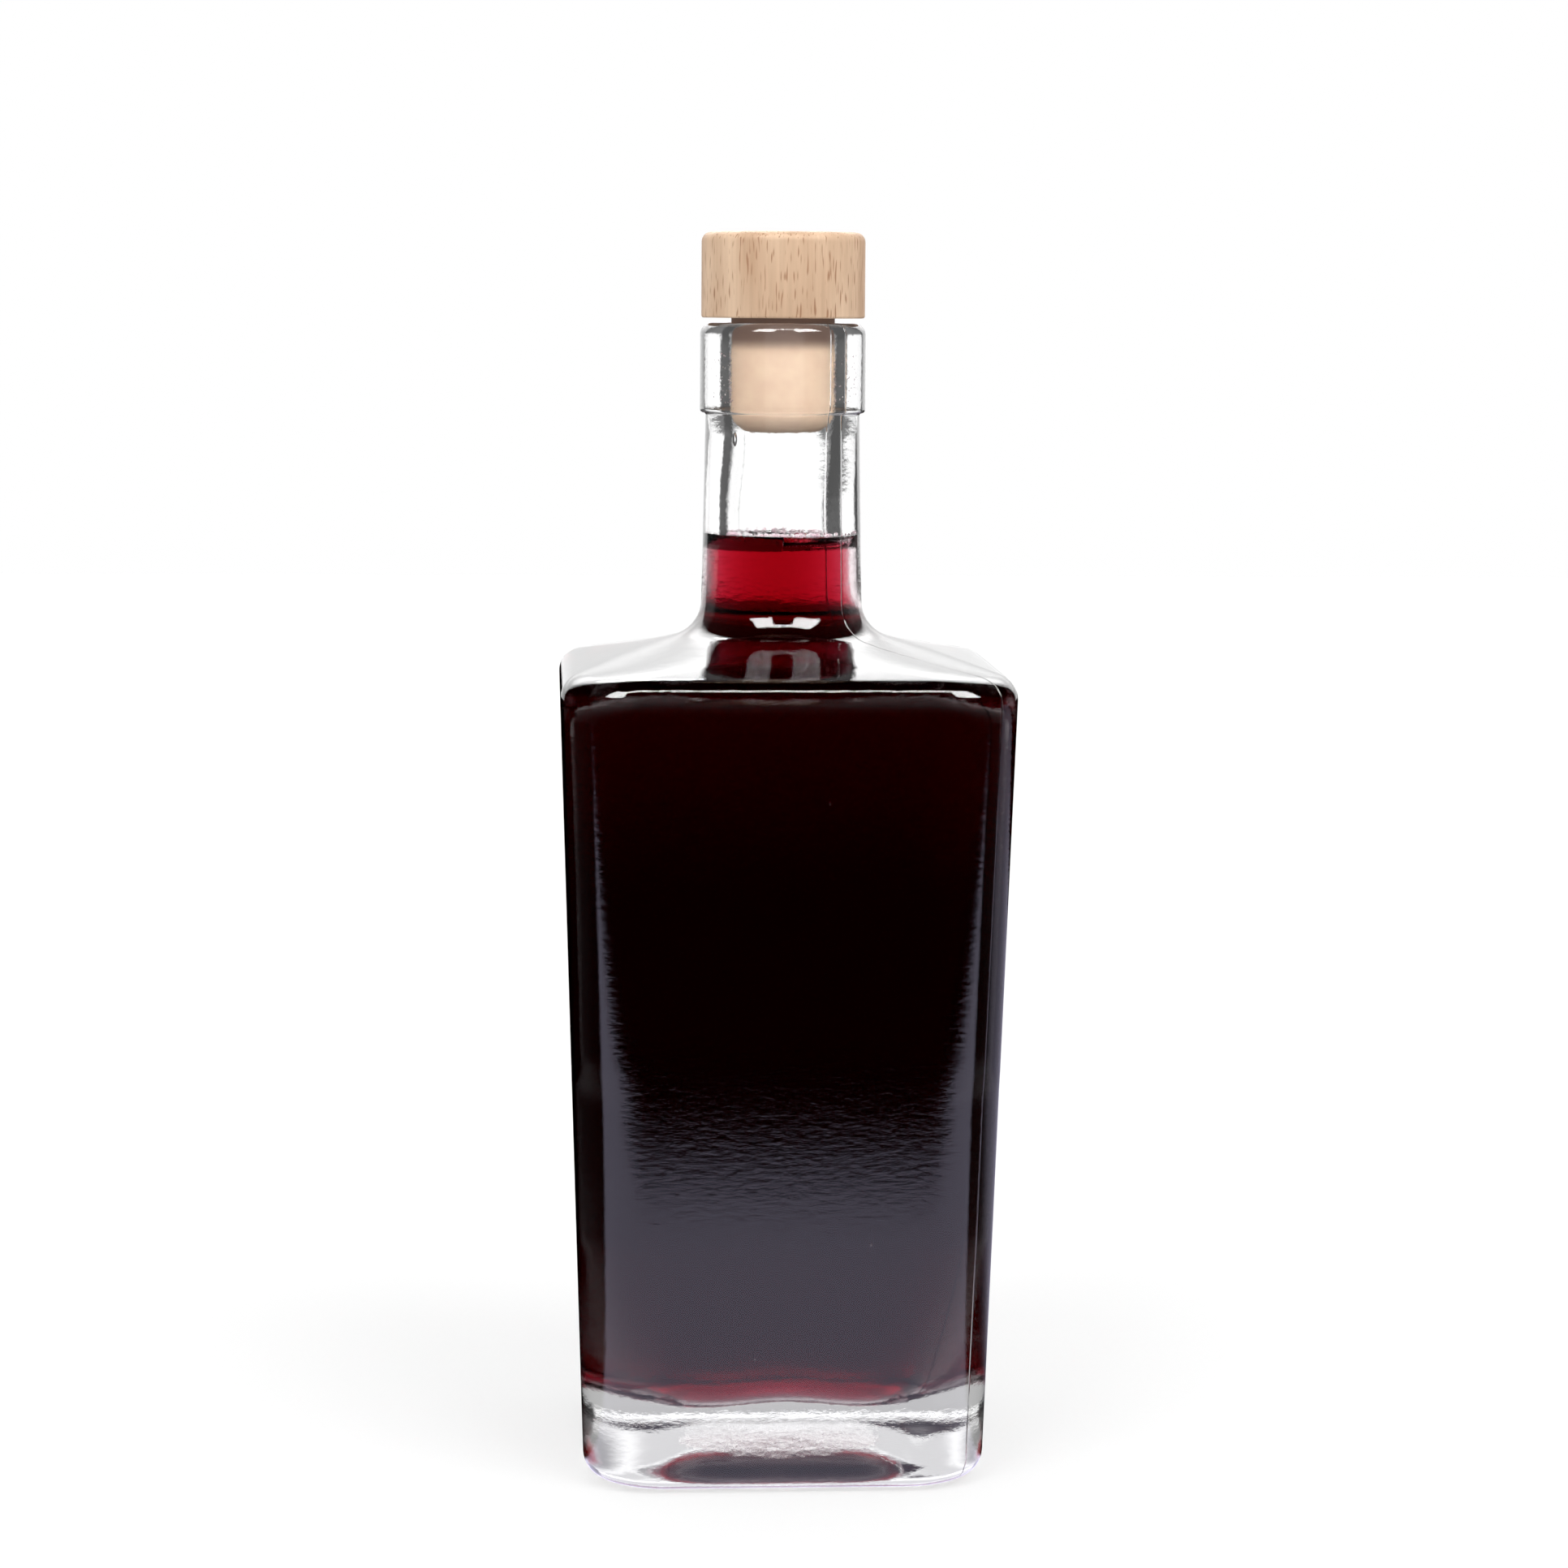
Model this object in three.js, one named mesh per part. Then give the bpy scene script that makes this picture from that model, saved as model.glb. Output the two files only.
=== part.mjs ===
// Square glass bottle with a wooden bar-top stopper, filled with a red liquid up into its neck.
// Millimetres, +Z up. The origin is the centre of the base, on the surface that the bottle stands on.

import * as THREE from 'three';

// Glass, outside: a square body that widens upwards, a sloped shoulder, a round neck and a lip
const bodyWidthAtBase = 73.1;
const bodyWidthAtShoulder = 82;
const bodyCornerRadiusAtBase = 13.6;
const bodyCornerRadiusAtShoulder = 12.7;
const heelRadius = 4.9;
const shoulderHeight = 147;
const shoulderSlopeDegrees = 14.8;
const shoulderEdgeRadius = 4.6;
const neckRootFillet = 7;
const neckDiameterAtRoot = 29.8;
const neckDiameterAtLip = 28.4;
const lipWall = 5.45;
const lipHeight = 16.4;
const lipTopRadius = 2.2;
const lipStepRadius = 0.7;
const bottleHeight = 210;

// Glass, underside: a shallow push-up inside a flat bearing ring
const pushUpHeight = 2.2;
const pushUpBlendRadius = 6;
const pushUpEdgeRadius = 1.5;
const pushUpRampWidth = 5;
const bearingRingWidth = 4.5;

// Glass, inside: walls, the thick domed floor and the bore
const sideWall = 3.8;
const shoulderWall = 4.4;
const neckWall = 5.4;
const floorThickness = 13;
const floorDome = 3.6;
const floorSideLift = 2.3;
const floorCornerRadius = 10;
const cavityShoulderRadius = 5;
const cavityNeckFillet = 10;
const mouthEdgeRadius = 1.4;
const boreStepLength = 2.5;

// Stopper: a turned wooden head on a moulded plug, joined by a spigot in a blind socket
const headDiameter = 30;
const headHeight = 15.6;
const headTopEdgeRadius = 1.8;
const headBottomEdgeRadius = 0.4;
const headGapOverLip = 0.9;
const plugDiameter = 19;
const plugLength = 21;
const plugEndRadius = 4;
const spigotDiameter = 12;
const spigotLength = 7;

// Clearances and the empty stretch of neck under the plug
const plugClearance = 0.3;
const spigotClearance = 0.3;
const liquidClearance = 0.3;
const headspace = 19.7;

// Facets of a quarter of a ring, of a rounded profile corner, and of the shoulder from edge to fillet
const facetsPerQuarter = 10;
const facetsPerBend = 4;
const facetsUpShoulder = 6;
const turnedFacets = 40;

// Smallest share of a ring's half width that its corner radius keeps under the heel and on the floor
const leastRoundness = 0.35;

const shoulderSlope = THREE.MathUtils.degToRad(shoulderSlopeDegrees);
const midBodyHeight = shoulderHeight / 2;
const neckRootRadius = neckDiameterAtRoot / 2;
const neckTopRadius = neckDiameterAtLip / 2;
const lipBottomHeight = bottleHeight - lipHeight;
const headBottomHeight = bottleHeight + headGapOverLip;
const plugRadius = plugDiameter / 2;
const plugEndHeight = headBottomHeight - plugLength;
const mouthRadius = plugRadius + plugClearance;
const lipRadius = mouthRadius + lipWall;
const fillHeight = plugEndHeight - headspace;

const heightShare = (z) => THREE.MathUtils.clamp(z / shoulderHeight, 0, 1);
const bodyHalfWidth = (z) =>
  THREE.MathUtils.lerp(bodyWidthAtBase, bodyWidthAtShoulder, z / shoulderHeight) / 2;
const bodyCornerRadius = (z) =>
  THREE.MathUtils.lerp(bodyCornerRadiusAtBase, bodyCornerRadiusAtShoulder, heightShare(z));
const neckRootHeight =
  shoulderHeight + (bodyHalfWidth(shoulderHeight) - neckRootRadius) * Math.tan(shoulderSlope);
const neckRadius = (z) =>
  THREE.MathUtils.mapLinear(z, neckRootHeight, lipBottomHeight, neckRootRadius, neckTopRadius);

// A profile is a chain of corners: half width, height, and the radius that rounds the corner.
// Each rounded corner becomes an arc that touches both of its straight neighbours.
function roundedProfile(corners) {
  const points = [];
  corners.forEach(([half, z, radius = 0], i) => {
    const corner = new THREE.Vector2(half, z);
    if (radius === 0) {
      points.push(corner);
      return;
    }
    const back = new THREE.Vector2(...corners[i - 1]).sub(corner).normalize();
    const ahead = new THREE.Vector2(...corners[i + 1]).sub(corner).normalize();
    const halfAngle = Math.acos(THREE.MathUtils.clamp(back.dot(ahead), -1, 1)) / 2;
    const bisector = back.clone().add(ahead).normalize();
    const centre = corner.clone().addScaledVector(bisector, radius / Math.sin(halfAngle));
    const tangentLength = radius / Math.tan(halfAngle);
    const start = corner.clone().addScaledVector(back, tangentLength).sub(centre);
    const sweep = Math.sign(back.cross(ahead)) * (Math.PI - 2 * halfAngle);
    for (let step = 0; step <= facetsPerBend; step++) {
      const turn = (-sweep * step) / facetsPerBend;
      points.push(start.clone().rotateAround(new THREE.Vector2(), turn).add(centre));
    }
  });
  return points;
}

// Extra points along a straight stretch of a profile, so that the section can change along it
function splitStretch(points, isStretch, count) {
  return points.flatMap((point, i) => {
    const next = points[i + 1];
    if (!next || !isStretch(point, next)) return [point];
    return Array.from({ length: count }, (_, step) => point.clone().lerp(next, step / count));
  });
}

// One level ring of the bottle's section: a square of the given half width with rounded corners,
// or a circle where the corner radius is the half width. Its flats touch the true curve.
// The lift raises the middle of each side above the corners.
function ring(half, z, corner, lift) {
  const points = [];
  const stepAngle = Math.PI / 2 / facetsPerQuarter;
  const facetRadius = corner / Math.cos(stepAngle / 2);
  for (let quarter = 0; quarter < 4; quarter++) {
    const diagonal = ((quarter + 0.5) * Math.PI) / 2;
    const centreX = Math.SQRT2 * (half - corner) * Math.cos(diagonal);
    const centreY = Math.SQRT2 * (half - corner) * Math.sin(diagonal);
    for (let step = 0; step < facetsPerQuarter; step++) {
      const angle = (quarter * Math.PI) / 2 + (step + 0.5) * stepAngle;
      const x = centreX + facetRadius * Math.cos(angle);
      const y = centreY + facetRadius * Math.sin(angle);
      const sideShare = Math.cos(2 * Math.atan2(y, x)) ** 2;
      points.push(new THREE.Vector3(x, y, z + lift * sideShare));
    }
  }
  return points;
}

// A closed skin through rings, from a pole on the axis to another pole on the axis
function skin(rings, startHeight, endHeight) {
  const perRing = 4 * facetsPerQuarter;
  const poles = [startHeight, endHeight].map((z) => new THREE.Vector3(0, 0, z));
  const vertices = [poles[0], ...rings.flat(), poles[1]];
  const last = vertices.length - 1;
  const index = [];
  for (let i = 0; i < perRing; i++) {
    const next = (i + 1) % perRing;
    index.push(0, 1 + next, 1 + i);
    for (let level = 0; level < rings.length - 1; level++) {
      const low = 1 + level * perRing;
      const high = low + perRing;
      index.push(low + i, low + next, high + next, low + i, high + next, high + i);
    }
    index.push(last, last - perRing + i, last - perRing + next);
  }
  const geometry = new THREE.BufferGeometry().setFromPoints(vertices);
  geometry.setIndex(index);
  geometry.computeVertexNormals();
  return geometry;
}

// Corner radius in plan at a profile point of a skin that lies an inset inside the glass's outside.
// Up the shoulder the square turns into a circle. Under the heel and on the floor, the corner
// shrinks by as much as the ring draws in.
function planCorner(half, z, { inset, squareHalf, roundHalf }) {
  if (z > midBodyHeight) {
    const square = (bodyCornerRadius(z) - inset) / Math.max(half, squareHalf);
    const roundness = THREE.MathUtils.clamp((squareHalf - half) / (squareHalf - roundHalf), 0, 1);
    return half * THREE.MathUtils.lerp(square, 1, roundness);
  }
  return Math.max(bodyCornerRadius(z) - (bodyHalfWidth(z) - half), leastRoundness * half);
}

// The cavity's profile from the floor up the wall and into the bore, kept a clearance inside the glass
function cavityCorners(clearance, boreTopHeight) {
  const inset = sideWall + clearance;
  const floorHeight = floorThickness + clearance;
  const shoulderZ = shoulderHeight - shoulderWall - clearance;
  const shoulderHalf = bodyHalfWidth(shoulderZ) - inset;
  const boreAt = (z) => neckRadius(z) - neckWall - clearance;
  const rootZ = shoulderZ + (shoulderHalf - boreAt(neckRootHeight)) * Math.tan(shoulderSlope);
  return [
    [bodyHalfWidth(floorHeight) - inset, floorHeight, floorCornerRadius - clearance],
    [shoulderHalf, shoulderZ, cavityShoulderRadius],
    [boreAt(rootZ), rootZ, cavityNeckFillet],
    [boreAt(boreTopHeight), boreTopHeight],
  ];
}

// The stretch over which a skin turns from square to round, from its shoulder's edge to its neck's fillet
function shoulderSpan(inset, [edgeHalf, , edgeRadius], [rootHalf, , filletRadius]) {
  return { inset, squareHalf: edgeHalf - edgeRadius, roundHalf: rootHalf + filletRadius };
}

function ringsFrom(corners, span, liftAt) {
  const isSlope = (a, b) => a.y > midBodyHeight && Math.abs(a.x - b.x) > neckRootRadius / 2;
  const points = splitStretch(roundedProfile(corners), isSlope, facetsUpShoulder);
  return points.map(({ x, y }) => ring(x, y, planCorner(x, y, span), liftAt(x, y)));
}

// How far the middle of each side of the floor stands above its corners at a profile point
function floorLift(half, z) {
  const fade = 1 - (z - floorThickness) / (2 * floorCornerRadius);
  const floorHalf = bodyHalfWidth(floorThickness) - sideWall;
  return floorSideLift * THREE.MathUtils.clamp(fade, 0, 1) * (half / floorHalf);
}

// The glass: up the outside, over the lip and down the bore and the cavity to the floor. Each half of
// the profile starts at its pole on the axis, and the skin closes the poles itself.
function glassBottleGeometry() {
  const bearingInner = bodyHalfWidth(0) - heelRadius - bearingRingWidth;
  const floorTop = floorThickness + floorDome;
  const shoulderEdge = [bodyHalfWidth(shoulderHeight), shoulderHeight, shoulderEdgeRadius];
  const neckRoot = [neckRootRadius, neckRootHeight, neckRootFillet];
  const cavity = cavityCorners(0, plugEndHeight - boreStepLength);
  const outside = [
    [0, pushUpHeight],
    [bearingInner - pushUpRampWidth, pushUpHeight, pushUpBlendRadius],
    [bearingInner, 0, pushUpEdgeRadius],
    [bodyHalfWidth(0), 0, heelRadius],
    shoulderEdge,
    neckRoot,
    [neckTopRadius, lipBottomHeight],
    [lipRadius, lipBottomHeight, lipStepRadius],
    [lipRadius, bottleHeight, lipTopRadius],
    [mouthRadius, bottleHeight, mouthEdgeRadius],
    [mouthRadius, plugEndHeight],
  ];
  const outerRings = ringsFrom(outside, shoulderSpan(0, shoulderEdge, neckRoot), () => 0);
  const cavitySpan = shoulderSpan(sideWall, cavity[1], cavity[2]);
  const cavityRings = ringsFrom([[0, floorTop], ...cavity], cavitySpan, floorLift);
  return skin([...outerRings.slice(1), ...cavityRings.slice(1).reverse()], pushUpHeight, floorTop);
}

// The liquid: the same cavity a clearance inside the glass, level at the fill height
function liquidGeometry() {
  const cavity = cavityCorners(liquidClearance, fillHeight);
  const floorTop = floorThickness + floorDome + liquidClearance;
  const span = shoulderSpan(sideWall + liquidClearance, cavity[1], cavity[2]);
  const rings = ringsFrom([[0, floorTop], ...cavity], span, floorLift);
  return skin(rings.slice(1), floorTop, fillHeight);
}

// A piece turned about the +Z axis from a closed profile that starts and ends on the axis
function turnedGeometry(corners) {
  const geometry = new THREE.LatheGeometry(roundedProfile(corners), turnedFacets);
  return geometry.rotateX(Math.PI / 2);
}

function stopperHeadGeometry() {
  const socketRadius = spigotDiameter / 2 + spigotClearance;
  const socketDepth = spigotLength + spigotClearance;
  return turnedGeometry([
    [0, socketDepth],
    [socketRadius, socketDepth],
    [socketRadius, 0],
    [headDiameter / 2, 0, headBottomEdgeRadius],
    [headDiameter / 2, headHeight, headTopEdgeRadius],
    [0, headHeight],
  ]);
}

function stopperPlugGeometry() {
  return turnedGeometry([
    [0, -plugLength],
    [plugRadius, -plugLength, plugEndRadius],
    [plugRadius, 0],
    [spigotDiameter / 2, 0],
    [spigotDiameter / 2, spigotLength],
    [0, spigotLength],
  ]);
}

function pieceMesh(name, geometry, look) {
  const mesh = new THREE.Mesh(geometry, new THREE.MeshStandardMaterial(look));
  mesh.name = name;
  return mesh;
}

const clearGlass = { color: 0xe6eeec, roughness: 0.04, metalness: 0, transparent: true, opacity: 0.35 };
const redLiquid = { color: 0x5a0010, roughness: 0.05, metalness: 0, transparent: true, opacity: 0.9 };
const beechWood = { color: 0xe8c29e, roughness: 0.6, metalness: 0 };
const moulded = { color: 0xf0cdae, roughness: 0.7, metalness: 0 };

const bottle = new THREE.Group();
bottle.add(pieceMesh('glass_bottle', glassBottleGeometry(), clearGlass));
bottle.add(pieceMesh('liquid', liquidGeometry(), redLiquid));

const stopper = new THREE.Group();
stopper.position.z = headBottomHeight;
stopper.add(pieceMesh('stopper_head', stopperHeadGeometry(), beechWood));
stopper.add(pieceMesh('stopper_plug', stopperPlugGeometry(), moulded));

const group = new THREE.Group();
group.add(bottle, stopper);

export default group;
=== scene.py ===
import math
import random

import bmesh
import bpy
from mathutils import Matrix, Vector, noise


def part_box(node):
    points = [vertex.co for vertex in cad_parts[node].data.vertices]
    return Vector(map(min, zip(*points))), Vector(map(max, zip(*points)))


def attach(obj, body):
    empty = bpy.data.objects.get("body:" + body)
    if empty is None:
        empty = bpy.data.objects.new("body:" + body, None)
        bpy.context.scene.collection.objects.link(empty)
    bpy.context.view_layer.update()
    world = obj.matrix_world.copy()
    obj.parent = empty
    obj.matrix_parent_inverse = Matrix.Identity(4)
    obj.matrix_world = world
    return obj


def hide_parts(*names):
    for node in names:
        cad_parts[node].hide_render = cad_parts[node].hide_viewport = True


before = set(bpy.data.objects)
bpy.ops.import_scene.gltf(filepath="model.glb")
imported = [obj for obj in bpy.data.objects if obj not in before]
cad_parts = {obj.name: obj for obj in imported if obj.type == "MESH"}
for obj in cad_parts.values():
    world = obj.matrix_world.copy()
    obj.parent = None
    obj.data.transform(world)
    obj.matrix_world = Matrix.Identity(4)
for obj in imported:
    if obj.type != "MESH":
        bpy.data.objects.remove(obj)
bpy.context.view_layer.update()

scene = bpy.context.scene
scene.view_settings.view_transform = "Standard"


# Camera
# It stands three quarters of a metre in front, about level with the lip, and looks slightly down.
# The bottle is turned a few degrees in the photograph, so the camera goes round it by that much.
camera_distance = 0.754
camera_height = 0.2149
camera_side = 0.00074
camera_pitch = 0.1189
camera_roll = 0.0067
bottle_turn = 0.0587
focal_length_mm = 93.79
sensor_width_mm = 36
farthest_view = 20

camera_data = bpy.data.cameras.new("camera")
camera_data.lens = focal_length_mm
camera_data.sensor_width = sensor_width_mm
camera_data.clip_end = farthest_view
camera = bpy.data.objects.new("camera", camera_data)
scene.collection.objects.link(camera)
camera.matrix_world = (
    Matrix.Rotation(-bottle_turn, 4, "Z")
    @ Matrix.Translation((camera_side, -camera_distance, camera_height))
    @ Matrix.Rotation(math.pi / 2 - camera_pitch, 4, "X")
    @ Matrix.Rotation(camera_roll, 4, "Z")
)
scene.camera = camera


# Table
# A pale matt table top. For rays that the glass mirrors, it glows with a painted reflection of its front
# part, cut dark at both sides, and a dim patch behind on the right. For rays through the glass, it glows
# with painted light and shade: pale close to the bottle, a painted shadow further back and white at its far
# end. Without glass in between it is white and takes the soft shadow.
table_front = -0.29
table_side = 1.6
table_back = 2.4
table_drop = 0.0002
table_colour = (0.97, 0.97, 0.97, 1)
white_share = 0.62
mirrored_tint = (0.93, 0.88, 1.17, 1)
mirrored_strength = 1.5
painted_reflection_edge = 1.2
painted_reflection_edge_softness = 0.05
front_fade_length = 0.08
dim_patch_azimuth = (0.05, 0.3)
dim_patch_depth = (0.05, 0.6)
dim_patch_softness = 0.05
dim_patch_share = 0.28
pale_to_shaded = (0.15, 0.26)
shaded_to_far_end = (1.15, 1.4)
far_end_half_width = 1.7
shaded_to_side = (0.65, 0.78)
near_brightness = 0.5
shaded_brightness = 0.2
side_brightness = 0.09
white_through_glass = 1.25

bpy.ops.object.select_all(action="DESELECT")
bpy.ops.mesh.primitive_plane_add(size=1)
table = bpy.context.object
table.name = "table"
table.data.transform(Matrix.Diagonal((2 * table_side, table_back - table_front, 1, 1)))
table.data.transform(Matrix.Translation((0, (table_back + table_front) / 2, -table_drop)))

table_paint = bpy.data.materials.new("table_paint")
table_paint.use_nodes = True
nodes, links = table_paint.node_tree.nodes, table_paint.node_tree.links
nodes.clear()


def math_node(operation, first, second=0.0):
    node = nodes.new("ShaderNodeMath")
    node.operation = operation
    for socket, value in zip(node.inputs, (first, second)):
        if isinstance(value, (int, float)):
            socket.default_value = value
        else:
            links.new(value, socket)
    return node.outputs[0]


def times(first, second):
    return math_node("MULTIPLY", first, second)


def rest_of(share):
    return math_node("SUBTRACT", 1.0, share)


def step_node(value, low, high):
    """A value that rises softly from 0 to 1 while the given one goes from low to high."""
    node = nodes.new("ShaderNodeMapRange")
    node.interpolation_type = "SMOOTHSTEP"
    links.new(value, node.inputs["Value"])
    node.inputs["From Min"].default_value = low
    node.inputs["From Max"].default_value = high
    return node.outputs["Result"]


def band_node(value, low, high, softness):
    above = step_node(value, low - softness, low + softness)
    below = rest_of(step_node(value, high - softness, high + softness))
    return times(above, below)


def shader_mix(share, first, second):
    node = nodes.new("ShaderNodeMixShader")
    links.new(share, node.inputs["Fac"])
    links.new(first, node.inputs[1])
    links.new(second, node.inputs[2])
    return node.outputs[0]


def emission(colour, strength):
    node = nodes.new("ShaderNodeEmission")
    node.inputs["Color"].default_value = colour
    if isinstance(strength, (int, float)):
        node.inputs["Strength"].default_value = strength
    else:
        links.new(strength, node.inputs["Strength"])
    return node.outputs[0]


path = nodes.new("ShaderNodeLightPath")
table_place = nodes.new("ShaderNodeSeparateXYZ")
links.new(nodes.new("ShaderNodeTexCoord").outputs["Object"], table_place.inputs[0])
across, along = table_place.outputs[:2]
angle_off_front = math_node("ABSOLUTE", math_node("ARCTAN2", across, times(along, -1.0)))
angle_to_right = math_node("ARCTAN2", across, along)
angle_off_back = math_node("ABSOLUTE", angle_to_right)

# The mirror image, a painted reflection: the table glows for mirrored rays and is cut dark at both sides.
outside_painted_reflection = step_node(angle_off_front, painted_reflection_edge - painted_reflection_edge_softness, painted_reflection_edge + painted_reflection_edge_softness)
front_part = times(rest_of(outside_painted_reflection), step_node(along, table_front, table_front + front_fade_length))
dim_patch = times(step_node(angle_to_right, *dim_patch_azimuth),
                  band_node(along, *dim_patch_depth, dim_patch_softness))
mirror_image = math_node("MAXIMUM", front_part, times(dim_patch, dim_patch_share))
mirrored = emission(mirrored_tint, times(mirror_image, mirrored_strength))

# What shows through the glass: painted light and shade. The table glows half bright close to the bottle,
# dark with a painted shadow further back and at the sides, and white at its far end.
squares = math_node("ADD", math_node("POWER", across, 2.0), math_node("POWER", along, 2.0))
near_part = rest_of(step_node(math_node("SQRT", squares), *pale_to_shaded))
near_part = times(near_part, near_brightness)
far_end = times(step_node(along, *shaded_to_far_end),
                math_node("LESS_THAN", math_node("ABSOLUTE", across), far_end_half_width))
middle_part = math_node("MAXIMUM", times(far_end, white_through_glass), shaded_brightness)
to_the_side = step_node(angle_off_back, *shaded_to_side)
beyond = math_node("ADD", times(middle_part, rest_of(to_the_side)), times(to_the_side, side_brightness))
table_through_glass = emission((1, 1, 1, 1), math_node("MAXIMUM", near_part, beyond))

matt_table = nodes.new("ShaderNodeBsdfDiffuse")
matt_table.inputs["Color"].default_value = table_colour
white = emission((1, 1, 1, 1), 1.0)
table_shader = shader_mix(times(path.outputs["Is Camera Ray"], white_share), matt_table.outputs[0], white)
table_shader = shader_mix(path.outputs["Is Glossy Ray"], table_shader, mirrored)
table_shader = shader_mix(path.outputs["Is Transmission Ray"], table_shader, table_through_glass)
links.new(table_shader, nodes.new("ShaderNodeOutputMaterial").inputs["Surface"])
table.data.materials.append(table_paint)


# Studio
# Plain soft light all round. Mirrored in the glass are an arch of soft boxes in front, two legs and
# a bar across their tops, a small box behind, a white wall and a bright ceiling behind. Through the
# glass the walls in front and behind are white and the sides dark, which draws the glass's edges.
box_strength = 4.5
fill_strength = 0.66
left_leg = (-0.9, -0.3)
right_leg = (0.3, 1.05)
leg_elevation = (0.61, 1.12)
bar_elevation = (1.0, 1.12)
arch_side_softness = 0.03
arch_top_softness = 0.02
rear_box = (-0.35, 0.05)
rear_box_elevation = (0.74, 0.84)
rear_box_side_softness = 0.01
wall_edge = (0.61, 0.70)
ceiling_rise = (0.3, 0.55)
boxes_mirrored = 20.0
wall_mirrored = 1.2
wall_glow_rise = (0.08, 0.25)
wall_glow_mirrored = 1.0
ceiling_mirrored = 5.8
ceiling_back = (0.52, 0.66)
ceiling_side = (0.4, 0.75)
sides_through_glass = 0.08
front_wall_share = 0.65
ceiling_through_glass = 0.35
dimmed_band = (0.13, 0.33)
dimmed_band_softness = 0.03
dimmed_band_share = 0.45
fill_through_glass = 0.9
boxes_through_glass = 95.0

world = bpy.data.worlds.new("studio")
scene.world = world
world.use_nodes = True
nodes, links = world.node_tree.nodes, world.node_tree.links
nodes.clear()


def value_mix(share, first, second):
    return math_node("ADD", times(share, second), times(rest_of(share), first))


direction = nodes.new("ShaderNodeSeparateXYZ")
links.new(nodes.new("ShaderNodeTexCoord").outputs["Generated"], direction.inputs[0])
to_right, to_back, to_top = direction.outputs
front_azimuth = math_node("ARCTAN2", to_right, times(to_back, -1.0))
back_azimuth = math_node("ARCTAN2", to_right, to_back)
off_front = math_node("ABSOLUTE", front_azimuth)
off_back = math_node("ABSOLUTE", back_azimuth)
elevation = math_node("ARCSINE", to_top)

both_legs = math_node("ADD", band_node(front_azimuth, *left_leg, arch_side_softness),
                      band_node(front_azimuth, *right_leg, arch_side_softness))
legs = times(both_legs, band_node(elevation, *leg_elevation, arch_top_softness))
bar = times(band_node(front_azimuth, left_leg[0], right_leg[1], arch_side_softness),
            band_node(elevation, *bar_elevation, arch_top_softness))
rear = times(band_node(back_azimuth, *rear_box, rear_box_side_softness),
             band_node(elevation, *rear_box_elevation, arch_top_softness))
boxes = math_node("MAXIMUM", math_node("MAXIMUM", legs, bar), rear)
back_wall = rest_of(step_node(off_back, *wall_edge))
front_wall = rest_of(step_node(off_front, *wall_edge))
ceiling = step_node(elevation, *ceiling_rise)

# The mirror image.
ceiling_behind = math_node("SUBTRACT", step_node(to_back, *ceiling_back), step_node(off_back, *ceiling_side))
ceiling_behind = times(math_node("MAXIMUM", ceiling_behind, 0.0), ceiling_mirrored)
wall_glow = times(step_node(elevation, *wall_glow_rise), wall_glow_mirrored)
wall_behind = times(back_wall, math_node("ADD", wall_glow, wall_mirrored))
mirrored_room = value_mix(ceiling, wall_behind, ceiling_behind)
mirrored_room = math_node("ADD", times(boxes, boxes_mirrored), mirrored_room)

# What shows through the glass.
both_walls = math_node("MAXIMUM", back_wall, times(front_wall, front_wall_share))
room_through_glass = value_mix(both_walls, sides_through_glass, white_through_glass)
room_through_glass = value_mix(ceiling, room_through_glass, ceiling_through_glass)
dimmed = times(band_node(elevation, *dimmed_band, dimmed_band_softness), dimmed_band_share)
room_through_glass = times(room_through_glass, rest_of(dimmed))

# The light on matt pieces, in the open and behind glass.
open_light = math_node("ADD", times(boxes, box_strength), fill_strength)
light_through_glass = math_node("ADD", times(boxes, boxes_through_glass), fill_through_glass)

path = nodes.new("ShaderNodeLightPath")
lights_matt = math_node("GREATER_THAN", path.outputs["Diffuse Depth"], 0.5)
matt_light = value_mix(path.outputs["Is Transmission Ray"], open_light, light_through_glass)
strength = value_mix(path.outputs["Is Glossy Ray"], open_light, mirrored_room)
strength = value_mix(path.outputs["Is Transmission Ray"], strength, room_through_glass)
strength = value_mix(lights_matt, strength, matt_light)
strength = value_mix(path.outputs["Is Camera Ray"], strength, 1.0)
background = nodes.new("ShaderNodeBackground")
background.inputs["Color"].default_value = (1, 1, 1, 1)
links.new(strength, background.inputs["Strength"])
links.new(background.outputs[0], nodes.new("ShaderNodeOutputWorld").inputs["Surface"])


# Glass bottle
# One piece of clear glass, blown in a square mould that leaves the walls thin and the foot thick.
# Its outside follows the mould. Its inside is free, so it runs a little uneven.
body_half_at_base = 0.03655
body_half_at_shoulder = 0.0410
corner_at_base = 0.0136
corner_at_shoulder = 0.0127
heel_radius = 0.0049
shoulder_height = 0.147
shoulder_slope = math.radians(14.8)
shoulder_edge_radius = 0.0046
neck_radius_at_root = 0.0149
neck_radius_at_lip = 0.0142
neck_root_fillet = 0.007
neck_top_fillet = 0.0004
lip_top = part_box("glass_bottle")[1][2]
lip_height = 0.0164
lip_radius = 0.01525
lip_top_radius = 0.0022
lip_step_radius = 0.0007
mouth_radius = 0.0098
mouth_edge_radius = 0.0014
bore_step_height = 0.1955
bore_step_length = 0.0060
bore_step_radius = 0.012
bore_join = 0.001
push_up_height = 0.0048
push_up_half = 0.0195
push_up_edge_share = 0.85
push_up_radius = 0.03
bearing_half = 0.0288
bearing_radius = 0.0015
chilled_radius = 0.019
side_wall = 0.0038
shoulder_wall = 0.0040
neck_wall = 0.0051
floor_height = 0.013
floor_dome = 0.0036
floor_dome_radius = 0.02
floor_dome_half_share = 0.55
floor_dome_rise_share = 0.3
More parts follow.
